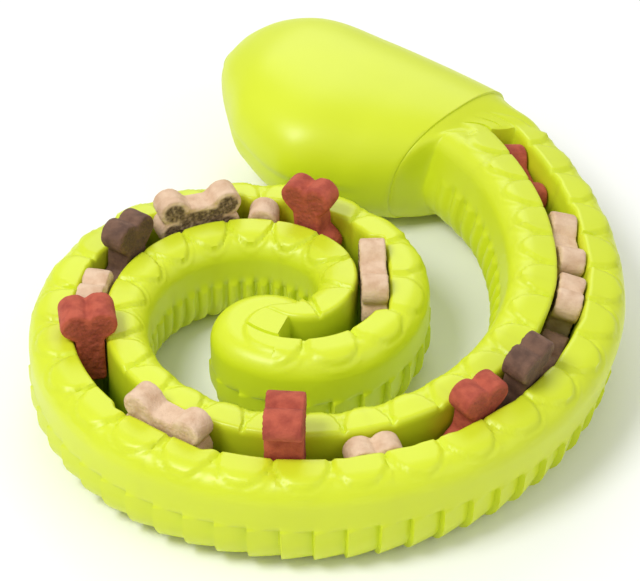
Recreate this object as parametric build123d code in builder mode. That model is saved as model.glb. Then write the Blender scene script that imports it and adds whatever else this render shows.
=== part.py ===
from build123d import *
import math
import os

# A coiled snake treat puzzle moulded in soft rubber: a tail, a spiral body with one deep
# open groove along its back, a neck and a separate head, holding sixteen bone-shaped
# biscuits in the groove. The rubber body is a chain of short sections that turn about upright
# lines on its centreline, which stands for the way the one-piece body bends when it is
# unrolled. The notches on the outer side are the room that the rubber gives up by squeezing.
# All sizes in millimetres. +Z is up, the belly rests on Z = 0.

os.makedirs("parts", exist_ok=True)

# ---------------------------------------------------------------- body section
body_height = 32.0
tail_half_width = 17.3
neck_half_width = 19.2
top_edge_radius = 6.5
belly_edge_radius = 9.5
groove_width = 9.4
groove_floor = 7.0
groove_corner_radius = 2.0
groove_length = 473.0

# ---------------------------------------------------------------- coil
# The bend radius of the centreline grows along the body, tail first.
tail_bend_radius = 15.0
tail_bend_growth = 0.352
tail_turn_length = 69.5
coil_bend_growth = 0.153
coil_turn_length = 375.7
neck_bend_growth = 0.898
tail_start_x = -15.27
tail_start_y = -43.27
tail_heading = -21.9
cap_setback = 6.0
tail_core_length = 20.0

# The neck end of the body is rolled outwards a little.
roll_start = 300.0
roll_end = 390.0
neck_roll = 15.0

# ---------------------------------------------------------------- bending places
# Distance along the groove, from its tail end, of each bend, between two biscuits.
hinge_marks = [63.0, 100.8, 131.8, 155.0, 177.0, 199.0, 218.5, 256.5,
               282.0, 312.0, 338.6, 379.7, 399.5, 437.0]
link_gap = 0.4
relief_margin = 1.2
relief_depth = 2.0

# ---------------------------------------------------------------- neck and head
neck_blend_start = 1.5
seam_width = 57.0
seam_height = 40.0
seam_gap = 0.2
seam_forward = 12.0
seam_inward = 9.0
seam_rise = 20.4
seam_yaw = 19.0
seam_pitch = 10.0
plug_width = 34.0
plug_height = 22.0
plug_length = 12.0
plug_clearance = 0.3
# head stations from the seam to the snout:
# forward, inward, rise over the seam, yaw, pitch, width, height, corner radius
seam_corner_radius = 15.0
head_stations = [
    (0.0, 0.0, 0.0, 0.0, seam_pitch, seam_width, seam_height, seam_corner_radius),
    (16.0, 7.0, 2.0, 7.0, 10.0, 67.0, 43.0, 17.0),
    (36.0, 15.0, 5.0, 12.0, 8.0, 74.0, 43.0, 18.0),
    (56.0, 16.0, 8.0, 12.0, 5.0, 63.0, 37.0, 16.0),
    (69.0, 16.5, 9.5, 14.0, 2.0, 47.0, 29.0, 13.0),
    (77.0, 18.0, 10.0, 14.0, 0.0, 27.0, 18.0, 8.0),
    (80.5, 18.5, 10.0, 14.0, 0.0, 12.0, 8.0, 3.5),
]

# ---------------------------------------------------------------- biscuits
biscuit_width = 17.0
biscuit_lobe_radius = 4.7
biscuit_waist = 9.4
biscuit_thickness = 8.4
biscuit_chamfer = 0.6
knob_shank = 8.6
knob_thickness = 11.5
biscuit_clearance = 0.3
lift_travel = 45.0
# name, place along the groove, stance, lean, height of its top over the back of the body,
# length of the piece
biscuits = [
    ("biscuit_01_red", 457.8, "along", 12.0, -1.0, 27.0),
    ("biscuit_02_tan", 414.6, "along", 0.0, 2.0, 27.0),
    ("biscuit_03_tan", 389.6, "upright", 0.0, 1.5, 27.0),
    ("biscuit_04_brown", 368.4, "along", 0.0, -5.0, 20.0),
    ("biscuit_05_brown", 348.4, "upright", 0.0, 12.0, 27.0),
    ("biscuit_06_red", 328.6, "upright", -6.0, 10.0, 27.0),
    ("biscuit_07_tan", 296.0, "upright", 0.0, 0.5, 27.0),
    ("biscuit_08_red", 270.5, "across", 0.0, 17.0, 25.0),
    ("biscuit_09_tan", 234.5, "along", -3.0, 8.0, 27.0),
    ("biscuit_10_red", 186.0, "across", 0.0, 11.0, 25.0),
    ("biscuit_11_tan", 165.5, "upright", 0.0, 4.0, 27.0),
    ("biscuit_12_brown", 143.5, "upright", 6.0, 12.0, 27.0),
    ("biscuit_13_tan", 116.0, "along", 4.0, 11.0, 27.0),
    ("biscuit_14_tan", 94.6, "nub", 0.0, 3.0, 17.0),
    ("biscuit_15_red", 78.5, "upright", -4.0, 15.0, 27.0),
    ("biscuit_16_tan", 43.5, "along", 0.0, 6.0, 27.0),
]


# ---------------------------------------------------------------- coil geometry
def bend_radius(s):
    """Bend radius of the centreline at a distance from the tail end of the groove."""
    radius = tail_bend_radius
    radius += tail_bend_growth * max(0.0, min(s, tail_turn_length))
    radius += coil_bend_growth * max(0.0, min(s, coil_turn_length) - tail_turn_length)
    radius += neck_bend_growth * max(0.0, s - coil_turn_length)
    return radius


def turn_between(start, end):
    """Angle in degrees that the centreline turns between two distances."""
    steps = 60
    step = (end - start) / steps
    return math.degrees(sum(step / bend_radius(start + (i + 0.5) * step) for i in range(steps)))


def half_width_at(s):
    """Half width of the body, which tapers towards the tail."""
    share = min(1.0, max(0.0, s / groove_length))
    return tail_half_width + (neck_half_width - tail_half_width) * share


def roll_at(s):
    """Outward roll of the body about its own length, in degrees."""
    share = min(1.0, max(0.0, (s - roll_start) / (roll_end - roll_start)))
    return neck_roll * share


def advance(pose, radius, turn):
    """Pose (x, y, heading) after following a left-hand arc."""
    x, y, heading = pose
    a0 = math.radians(heading)
    a1 = math.radians(heading + turn)
    x_new = x + radius * (math.sin(a1) - math.sin(a0))
    y_new = y - radius * (math.cos(a1) - math.cos(a0))
    return (x_new, y_new, heading + turn)


def pose_at(s):
    """Pose of the body axis at a distance, following the arcs of the sections."""
    pose = tail_pose
    for arc_start, arc_end in zip(arc_marks, arc_marks[1:]):
        turn = turn_between(arc_start, arc_end)
        radius = (arc_end - arc_start) / math.radians(turn)
        if s <= arc_end or arc_end == arc_marks[-1]:
            return advance(pose, radius, turn * (s - arc_start) / (arc_end - arc_start))
        pose = advance(pose, radius, turn)
    return pose


def arc_radius(s):
    """Radius of the arc that holds a distance."""
    for arc_start, arc_end in zip(arc_marks, arc_marks[1:]):
        if s <= arc_end or arc_end == arc_marks[-1]:
            return (arc_end - arc_start) / math.radians(turn_between(arc_start, arc_end))
    return bend_radius(s)


def belly_lift(half_width, roll):
    """How much a rolled section is raised so that its lower edge stays on the ground."""
    a = math.radians(roll)
    low = (body_height / 2 - belly_edge_radius) * math.cos(a)
    low += (half_width - belly_edge_radius) * math.sin(a) + belly_edge_radius
    return low - body_height / 2


def directions(pose):
    """Forward, outward and up directions at a pose."""
    a = math.radians(pose[2])
    return Vector(math.cos(a), math.sin(a), 0), Vector(math.sin(a), -math.cos(a), 0), Vector(0, 0, 1)


def section_frame(pose, half_width, roll):
    """Belly point and the outward and upward directions of a rolled section."""
    forward, outward, up = directions(pose)
    a = math.radians(roll)
    side = outward * math.cos(a) - up * math.sin(a)
    rise = up * math.cos(a) + outward * math.sin(a)
    middle = Vector(pose[0], pose[1], body_height / 2 + belly_lift(half_width, roll))
    return middle - rise * (body_height / 2), side, rise


def cross_plane(pose, half_width, roll):
    """Plane across the body: local X outward, local Y up from the belly."""
    belly, side, _ = section_frame(pose, half_width, roll)
    return Plane(origin=belly, x_dir=side, z_dir=directions(pose)[0] * -1)


def bend_axis(pose, radius):
    """Upright axis about which the body bends at a pose."""
    outward = directions(pose)[1]
    return Axis(Vector(pose[0], pose[1], 0) - outward * radius, (0, 0, 1))


tail_pose = (tail_start_x, tail_start_y, tail_heading)
arc_marks = [0.0, tail_core_length] + hinge_marks + [groove_length]


def straightening_angle(index):
    """Turn in degrees between the middles of the two sections that meet at a bend."""
    marks = [tail_core_length + 8.0] + hinge_marks + [groove_length]
    before = (marks[index] + marks[index + 1]) / 2
    after = (marks[index + 1] + marks[index + 2]) / 2
    return turn_between(before, after)


# ---------------------------------------------------------------- shared profiles
def outline_profile(half_width, inner_reach):
    """Draws the outside of the body in the current sketch, rounded on its edges."""
    with Locations(((half_width - inner_reach) / 2, 0)):
        Rectangle(half_width + inner_reach, body_height, align=(Align.CENTER, Align.MIN))


def groove_profile():
    """Draws the groove, open at the top, in the current sketch."""
    depth = 2 * (body_height - groove_floor)
    with Locations((0, groove_floor + depth / 2)):
        RectangleRounded(groove_width, depth, groove_corner_radius)


def relief_tool(index):
    """Notch on the outer side of a bend, wide enough for the body to straighten there."""
    pose = pose_at(hinge_marks[index])
    tall = 3 * body_height
    forward, outward, up = directions(pose)
    pivot = Plane(origin=(pose[0], pose[1], 0), x_dir=forward, z_dir=up)
    spread = math.radians(straightening_angle(index) / 2 + relief_margin)
    far = 3 * neck_half_width
    corner_x = far * math.sin(spread)
    corner_y = -far * math.cos(spread)
    with BuildPart() as relief:
        with BuildSketch(pivot):
            with BuildLine():
                Polyline((0, relief_depth), (corner_x, corner_y), (-corner_x, corner_y), close=True)
            make_face()
        extrude(amount=tall, both=True)
    return relief.part


def pocket_tools(first, last):
    """Clearance boxes for the biscuits that lie lengthwise between two distances."""
    tools = []
    for name, place, stance, lean, top, length in biscuits:
        if first <= place < last and stance != "across":
            belly, side, rise = biscuit_frame(place)
            reach = footprint(stance, lean, length) + 2 * biscuit_clearance
            depth = body_height + top - reach_down(stance, lean, length)
            base = Plane(origin=belly + rise * (depth - biscuit_clearance), x_dir=side, z_dir=rise)
            width = biscuit_thickness + 2 * biscuit_clearance
            box = Box(width, reach, 2 * body_height, align=(Align.CENTER, Align.CENTER, Align.MIN))
            tools.append(base * box)
    return tools


# ---------------------------------------------------------------- biscuits
def biscuit_frame(place):
    """Belly point and directions of the section that carries a biscuit."""
    mark = carrier_mark(place)
    return section_frame(pose_at(place), half_width_at(mark), roll_at(mark))


def carrier_mark(place):
    """Distance of the middle of the section that carries a biscuit."""
    ends = [0.0] + hinge_marks + [groove_length]
    for low, high in zip(ends, ends[1:]):
        if low <= place < high:
            return (low + high) / 2
    return groove_length


def footprint(stance, lean, length):
    """Length of a biscuit along the groove."""
    a = math.radians(abs(lean))
    if stance == "nub":
        return 2 * biscuit_lobe_radius
    long_side = length if stance == "along" else biscuit_width
    short_side = biscuit_width if stance == "along" else length
    r = biscuit_lobe_radius
    return (long_side - 2 * r) * math.cos(a) + (short_side - 2 * r) * math.sin(a) + 2 * r


def reach_down(stance, lean, length):
    """Height of a biscuit from its lowest to its highest point."""
    a = math.radians(abs(lean))
    if stance == "nub":
        return length
    high_side = biscuit_width if stance == "along" else length
    other_side = length if stance == "along" else biscuit_width
    r = biscuit_lobe_radius
    return (high_side - 2 * r) * math.cos(a) + (other_side - 2 * r) * math.sin(a) + 2 * r


def bone_profile(length, width):
    """Draws a bone lying along local X in the current sketch."""
    dx = length / 2 - biscuit_lobe_radius
    dy = width / 2 - biscuit_lobe_radius
    with Locations((dx, dy), (dx, -dy), (-dx, dy), (-dx, -dy)):
        Circle(biscuit_lobe_radius)
    Rectangle(2 * dx, biscuit_waist)


def bone_biscuit(name, place, stance, lean, top, length):
    """A whole bone on edge in the groove, lengthwise or upright."""
    belly, side, rise = biscuit_frame(place)
    forward = directions(pose_at(place))[0]
    angle = lean if stance == "along" else lean + 90.0
    a = math.radians(angle)
    long_dir = forward * math.cos(a) + rise * math.sin(a)
    middle = belly + rise * (body_height + top - reach_down(stance, lean, length) / 2)
    with BuildPart() as bone:
        with BuildSketch(Plane(origin=middle, x_dir=long_dir, z_dir=side)):
            bone_profile(length, biscuit_width)
        extrude(amount=biscuit_thickness / 2, both=True)
        chamfer(bone.faces().filter_by(Axis(middle, side)).edges(), biscuit_chamfer)
    bone.part.label = name
    export_step(bone.part, "parts/" + name + ".step")
    return bone.part


def nub_biscuit(name, place, top, length):
    """A broken biscuit of which only the rounded end shows."""
    belly, side, rise = biscuit_frame(place)
    forward = directions(pose_at(place))[0]
    middle = belly + rise * (body_height + top - length / 2)
    with BuildPart() as nub:
        with BuildSketch(Plane(origin=middle, x_dir=forward, z_dir=side)):
            SlotOverall(length, 2 * biscuit_lobe_radius, rotation=90)
        extrude(amount=biscuit_thickness / 2, both=True)
        chamfer(nub.faces().filter_by(Axis(middle, side)).edges(), biscuit_chamfer)
    nub.part.label = name
    export_step(nub.part, "parts/" + name + ".step")
    return nub.part


def knob_biscuit(name, place, top, length):
    """Half a bone across the groove: two lobes on the back, its shank down in the groove."""
    belly, side, rise = biscuit_frame(place)
    forward = directions(pose_at(place))[0]
    crown = belly + rise * (body_height + top)
    dy = biscuit_width / 2 - biscuit_lobe_radius
    with BuildPart() as knob:
        with BuildSketch(Plane(origin=crown, x_dir=side, z_dir=forward * -1)):
            with Locations((dy, -biscuit_lobe_radius), (-dy, -biscuit_lobe_radius)):
                Circle(biscuit_lobe_radius)
            with Locations((0, -biscuit_lobe_radius * 0.8)):
                Rectangle(knob_shank, length - biscuit_lobe_radius * 0.8,
                          align=(Align.CENTER, Align.MAX))
        extrude(amount=knob_thickness / 2, both=True)
        chamfer(knob.faces().filter_by(Axis(crown, forward)).edges(), biscuit_chamfer)
    knob.part.label = name
    export_step(knob.part, "parts/" + name + ".step")
    return knob.part


# ---------------------------------------------------------------- body
def tail_section():
    """The curled end of the tail with the blind end of the groove."""
    half_width = half_width_at(0.0)
    core_turn = turn_between(0.0, tail_core_length)
    core_radius = tail_core_length / math.radians(core_turn)
    cap_pose = advance(tail_pose, core_radius, -math.degrees(cap_setback / core_radius))
    cap_turn = math.degrees(cap_setback / core_radius)
    arc_pose = advance(tail_pose, core_radius, core_turn)
    radius = arc_radius(hinge_marks[0])
    arc_turn = turn_between(tail_core_length, hinge_marks[0])
    gap_turn = math.degrees(link_gap / 2 / radius)
    relief = relief_tool(0)
    pockets = pocket_tools(0.0, hinge_marks[0])
    with BuildPart() as section:
        with BuildSketch(cross_plane(cap_pose, half_width, 0.0)) as cap:
            Rectangle(half_width, body_height, align=(Align.MIN, Align.MIN))
            fillet(cap.vertices().group_by(Axis.X)[-1].sort_by(Axis.Y)[-1], top_edge_radius)
            fillet(cap.vertices().group_by(Axis.X)[-1].sort_by(Axis.Y)[0], belly_edge_radius)
        revolve(axis=Axis((cap_pose[0], cap_pose[1], 0), (0, 0, 1)), revolution_arc=360)
        with BuildSketch(cross_plane(cap_pose, half_width, 0.0)) as core:
            outline_profile(half_width, core_radius)
            fillet(core.vertices().group_by(Axis.X)[-1].sort_by(Axis.Y)[-1], top_edge_radius)
            fillet(core.vertices().group_by(Axis.X)[-1].sort_by(Axis.Y)[0], belly_edge_radius)
        revolve(axis=bend_axis(cap_pose, core_radius), revolution_arc=cap_turn + core_turn)
        with BuildSketch(cross_plane(arc_pose, half_width, 0.0)) as outline:
            outline_profile(half_width, half_width)
            fillet(outline.vertices().group_by(Axis.Y)[-1], top_edge_radius)
            fillet(outline.vertices().group_by(Axis.Y)[0], belly_edge_radius)
        revolve(axis=bend_axis(arc_pose, radius), revolution_arc=arc_turn - gap_turn)
        with BuildSketch(cross_plane(tail_pose, half_width, 0.0)):
            groove_profile()
        revolve(axis=bend_axis(tail_pose, core_radius), revolution_arc=core_turn,
                mode=Mode.SUBTRACT)
        with BuildSketch(cross_plane(arc_pose, half_width, 0.0)):
            groove_profile()
        revolve(axis=bend_axis(arc_pose, radius), revolution_arc=arc_turn,
                mode=Mode.SUBTRACT)
        add(relief, mode=Mode.SUBTRACT)
        for pocket in pockets:
            add(pocket, mode=Mode.SUBTRACT)
    section.part.label = "tail_section"
    export_step(section.part, "parts/tail_section.step")
    return section.part


def body_section(index):
    """One link of the body, notched on its outer side at both ends."""
    name = f"body_section_{index:02d}"
    start = hinge_marks[index - 1]
    end = hinge_marks[index]
    mark = (start + end) / 2
    half_width = half_width_at(mark)
    roll = roll_at(mark)
    radius = arc_radius(end)
    gap_turn = math.degrees(link_gap / 2 / radius)
    turn = turn_between(start, end) - 2 * gap_turn
    pose = advance(pose_at(start), radius, gap_turn)
    reliefs = [relief_tool(index - 1), relief_tool(index)]
    pockets = pocket_tools(start, end)
    with BuildPart() as section:
        with BuildSketch(cross_plane(pose, half_width, roll)) as outline:
            outline_profile(half_width, half_width)
            fillet(outline.vertices().group_by(Axis.Y)[-1], top_edge_radius)
            fillet(outline.vertices().group_by(Axis.Y)[0], belly_edge_radius)
        revolve(axis=bend_axis(pose, radius), revolution_arc=turn)
        with BuildSketch(cross_plane(pose, half_width, roll)):
            groove_profile()
        revolve(axis=bend_axis(pose, radius), revolution_arc=turn, mode=Mode.SUBTRACT)
        for relief in reliefs:
            add(relief, mode=Mode.SUBTRACT)
        for pocket in pockets:
            add(pocket, mode=Mode.SUBTRACT)
    section.part.label = name
    export_step(section.part, "parts/" + name + ".step")
    return section.part


def seam_plane(forward_step, inward_step, height, yaw, pitch):
    """Plane across the head at a step from the seam: local X outward, local Y up."""
    base = pose_at(groove_length + neck_blend_start)
    forward, outward, up = directions(base)
    seam = Vector(base[0], base[1], 0) + forward * seam_forward - outward * seam_inward
    ahead, aside, up = directions((0, 0, base[2] + seam_yaw))
    middle = seam + ahead * forward_step - aside * inward_step + up * height
    nose, side, up = directions((0, 0, base[2] + seam_yaw + yaw))
    a = math.radians(pitch)
    axis = nose * math.cos(a) + up * math.sin(a)
    return Plane(origin=middle, x_dir=side, z_dir=axis * -1)


def neck_section():
    """The neck: end of the groove, flare to the seam and the plug that carries the head."""
    start = hinge_marks[-1]
    mark = (start + groove_length) / 2
    half_width = half_width_at(mark)
    roll = roll_at(mark)
    radius = arc_radius(groove_length)
    gap_turn = math.degrees(link_gap / 2 / radius)
    pose = advance(pose_at(start), radius, gap_turn)
    turn = turn_between(start, groove_length) - gap_turn
    extra = math.degrees(neck_blend_start / radius)
    neck_pose = advance(pose, radius, turn + extra)
    relief = relief_tool(len(hinge_marks) - 1)
    pockets = pocket_tools(start, groove_length)
    seam = seam_plane(0, 0, seam_rise, 0, seam_pitch)
    with BuildPart() as section:
        with BuildSketch(cross_plane(pose, half_width, roll)) as outline:
            outline_profile(half_width, half_width)
            fillet(outline.vertices().group_by(Axis.Y)[-1], top_edge_radius)
            fillet(outline.vertices().group_by(Axis.Y)[0], belly_edge_radius)
        revolve(axis=bend_axis(pose, radius), revolution_arc=turn + extra)
        with BuildSketch(cross_plane(neck_pose, half_width, roll)):
            with Locations((0, body_height / 2)):
                RectangleRounded(2 * half_width, body_height, belly_edge_radius)
        with BuildSketch(seam):
            RectangleRounded(seam_width, seam_height, seam_corner_radius)
        loft()
        with BuildSketch(seam):
            Ellipse(plug_width / 2, plug_height / 2)
        extrude(amount=-plug_length)
        with BuildSketch(cross_plane(pose, half_width, roll)):
            groove_profile()
        revolve(axis=bend_axis(pose, radius), revolution_arc=turn, mode=Mode.SUBTRACT)
        add(relief, mode=Mode.SUBTRACT)
        for pocket in pockets:
            add(pocket, mode=Mode.SUBTRACT)
    section.part.label = "neck_section"
    export_step(section.part, "parts/neck_section.step")
    return section.part


def head():
    """The broad head, fitted over the plug of the neck."""
    seam = seam_plane(0, 0, seam_rise, 0, seam_pitch)
    with BuildPart() as snake_head:
        for index, station in enumerate(head_stations):
            step, inward, rise, yaw, pitch, width, tall, corner = station
            plane = seam_plane(step, inward, seam_rise + rise, yaw, pitch)
            if index == 0:
                plane = plane.offset(-seam_gap)
            with BuildSketch(plane):
                RectangleRounded(width, tall, corner)
        loft()
        with BuildSketch(seam.offset(1)):
            Ellipse(plug_width / 2 + plug_clearance, plug_height / 2 + plug_clearance)
        extrude(amount=-plug_length - 1 - 0.5, mode=Mode.SUBTRACT)
    snake_head.part.label = "head"
    export_step(snake_head.part, "parts/head.step")
    return snake_head.part


# ---------------------------------------------------------------- build
pieces = [tail_section()]
for number in range(1, len(hinge_marks)):
    pieces.append(body_section(number))
pieces.append(neck_section())
pieces.append(head())
for name, place, stance, lean, top, length in biscuits:
    if stance == "across":
        pieces.append(knob_biscuit(name, place, top, length))
    elif stance == "nub":
        pieces.append(nub_biscuit(name, place, top, length))
    else:
        pieces.append(bone_biscuit(name, place, stance, lean, top, length))

box = Compound(children=pieces).bounding_box()
print("box", box.min, box.max)
for number, mark in enumerate(hinge_marks):
    x, y, heading = pose_at(mark)
    angle = straightening_angle(number)
    print(f"bend {number} s {mark:.1f} x {x:.2f} y {y:.2f} heading {heading:.1f} opens {angle:.1f}")
for name, place, stance, lean, top, length in biscuits:
    belly, side, rise = biscuit_frame(place)
    print(f"{name} belly {belly.X:.2f} {belly.Y:.2f} {belly.Z:.2f} up {rise.X:.4f} {rise.Y:.4f} {rise.Z:.4f}")
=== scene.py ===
"""Coiled treat snake: a soft rubber body with a groove full of bone biscuits."""
from __future__ import annotations

import logging
import math
from dataclasses import dataclass, field
from enum import Enum

import bmesh
import bpy
import numpy as np
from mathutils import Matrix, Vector, noise


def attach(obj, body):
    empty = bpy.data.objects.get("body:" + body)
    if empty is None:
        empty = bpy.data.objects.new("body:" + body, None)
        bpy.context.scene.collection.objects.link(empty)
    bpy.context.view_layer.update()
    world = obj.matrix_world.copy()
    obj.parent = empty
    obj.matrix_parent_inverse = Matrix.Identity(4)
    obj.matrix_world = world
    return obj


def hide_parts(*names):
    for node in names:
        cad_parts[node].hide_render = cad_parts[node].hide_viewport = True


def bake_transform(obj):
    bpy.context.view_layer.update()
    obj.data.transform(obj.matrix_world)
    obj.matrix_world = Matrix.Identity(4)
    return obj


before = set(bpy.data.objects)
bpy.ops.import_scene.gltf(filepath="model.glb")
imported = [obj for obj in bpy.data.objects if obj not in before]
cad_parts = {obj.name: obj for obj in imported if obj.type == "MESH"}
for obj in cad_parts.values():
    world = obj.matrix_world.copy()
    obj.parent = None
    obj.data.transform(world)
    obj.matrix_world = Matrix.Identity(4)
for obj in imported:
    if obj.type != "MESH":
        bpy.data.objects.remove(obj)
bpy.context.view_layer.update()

logging.basicConfig(level=logging.INFO, format="%(message)s")
LOG = logging.getLogger("treat_snake")
MM = 0.001


# ------------------------------------------------------------------ helpers
def clean_selection() -> None:
    """Leaves edit mode and deselects every object."""
    if bpy.context.object and bpy.context.object.mode != "OBJECT":
        bpy.ops.object.mode_set(mode="OBJECT")
    bpy.ops.object.select_all(action="DESELECT")


def smooth(low: float, high: float, value: np.ndarray | float) -> np.ndarray:
    """Smooth step from 0 at low to 1 at high.

    Args:
        low: Value at which the step starts.
        high: Value at which the step ends.
        value: Number or array to look up.
    Returns:
        The share between 0 and 1.
    """
    t = np.clip((np.asarray(value, float) - low) / (high - low), 0.0, 1.0)
    return t * t * (3.0 - 2.0 * t)


def unit(vector: np.ndarray) -> np.ndarray:
    """A vector scaled to length 1."""
    return vector / np.linalg.norm(vector)


def ringed_tube(name: str, rings: int, columns: int) -> bpy.types.Object:
    """Adds a cylinder and divides its long edges into rings.

    Args:
        name: Name of the new object.
        rings: Number of rings, both ends counted.
        columns: Number of corners round each ring.
    Returns:
        The object, one unit long on Z, with flat ends.
    """
    clean_selection()
    bpy.ops.mesh.primitive_cylinder_add(vertices=columns, radius=1.0, depth=1.0,
                                        end_fill_type="NGON")
    tube = bpy.context.object
    tube.name = name
    tube.data.name = name
    bpy.ops.object.mode_set(mode="EDIT")
    bpy.ops.mesh.select_mode(type="EDGE")
    bpy.ops.mesh.select_all(action="DESELECT")
    sheet = bmesh.from_edit_mesh(tube.data)
    for edge in sheet.edges:
        a, b = edge.verts
        edge.select = abs(a.co.z - b.co.z) > 0.5
    bmesh.update_edit_mesh(tube.data)
    bpy.ops.mesh.subdivide_edgering(number_cuts=rings - 2, interpolation="LINEAR")
    bpy.ops.object.mode_set(mode="OBJECT")
    return tube


def lay_rings(tube: bpy.types.Object, points: np.ndarray) -> np.ndarray:
    """Lays the rings of a divided tube on their places.

    Args:
        tube: A tube from ringed_tube.
        points: Places in metres, as rings by columns by three.
    Returns:
        For each corner of the mesh, its ring and its column.
    """
    rings, columns, _ = points.shape
    co = corners_of(tube)
    ring = np.rint((co[:, 2] + 0.5) * (rings - 1)).astype(int)
    angle = np.arctan2(co[:, 0], co[:, 1]) % (2 * math.pi)
    column = np.rint(angle / (2 * math.pi) * columns).astype(int) % columns
    set_corners(tube, points[ring, column])
    return np.stack([ring, column], axis=1)


def corners_of(piece: bpy.types.Object, name: str = "co") -> np.ndarray:
    """Places, or another vector, of a mesh's corners as rows of three."""
    flat = np.zeros(len(piece.data.vertices) * 3)
    piece.data.vertices.foreach_get(name, flat)
    return flat.reshape(-1, 3)


def set_corners(piece: bpy.types.Object, places: np.ndarray) -> None:
    """Moves a mesh's corners to new places."""
    piece.data.vertices.foreach_set("co", places.ravel())
    piece.data.update()


def dress(piece: bpy.types.Object, material: bpy.types.Material) -> None:
    """Gives a piece one material."""
    piece.data.materials.clear()
    piece.data.materials.append(material)


def paint(piece: bpy.types.Object, name: str, values: np.ndarray) -> None:
    """Stores one number for each corner of a mesh under a name."""
    layer = piece.data.attributes.new(name, "FLOAT", "POINT")
    layer.data.foreach_set("value", values.astype(np.float32))


def close_and_turn(piece: bpy.types.Object, distance: float) -> None:
    """Merges corners that meet and turns all faces outwards.

    Args:
        piece: Mesh object to finish.
        distance: Corners nearer than this, in metres, become one.
    """
    clean_selection()
    bpy.context.view_layer.objects.active = piece
    piece.select_set(True)
    bpy.ops.object.mode_set(mode="EDIT")
    bpy.ops.mesh.select_mode(type="VERT")
    bpy.ops.mesh.select_all(action="SELECT")
    bpy.ops.mesh.remove_doubles(threshold=distance)
    bpy.ops.mesh.select_all(action="SELECT")
    bpy.ops.mesh.normals_make_consistent(inside=False)
    bpy.ops.object.mode_set(mode="OBJECT")
    bpy.ops.object.shade_smooth_by_angle(angle=math.radians(50))


# ------------------------------------------------------------------ finishes
@dataclass(frozen=True)
class RubberFinish:
    """Satin moulded rubber."""

    colour: tuple[float, float, float] = (0.66, 0.76, 0.022)
    # Darker green painted into the groove as painted shade, where less light reaches.
    groove_shade_colour: tuple[float, float, float] = (0.22, 0.36, 0.004)
    roughness: float = 0.36
    grain: float = 0.10
    grain_size: float = 900.0
    translucency: float = 0.10


@dataclass(frozen=True)
class BiscuitFinish:
    """Baked dough with a crumb on its broken faces."""

    crust: tuple[float, float, float]
    crust_dark: tuple[float, float, float]
    crumb: tuple[float, float, float]
    crumb_dark: tuple[float, float, float]
    roughness: float = 0.82
    grain: float = 0.55


class Dough(Enum):
    """The three doughs of the biscuits."""

    RED = BiscuitFinish((0.53, 0.105, 0.055), (0.36, 0.055, 0.03), (0.36, 0.07, 0.04),
                        (0.20, 0.035, 0.02))
    TAN = BiscuitFinish((0.80, 0.58, 0.40), (0.66, 0.43, 0.27), (0.20, 0.125, 0.07),
                        (0.07, 0.04, 0.025))
    BROWN = BiscuitFinish((0.20, 0.105, 0.065), (0.11, 0.055, 0.035), (0.13, 0.07, 0.045),
                          (0.05, 0.028, 0.02))


class Stance(Enum):
    """How a biscuit stands in the groove."""

    ALONG = "along"
    UPRIGHT = "upright"
    ACROSS = "across"
    NUB = "nub"


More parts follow.
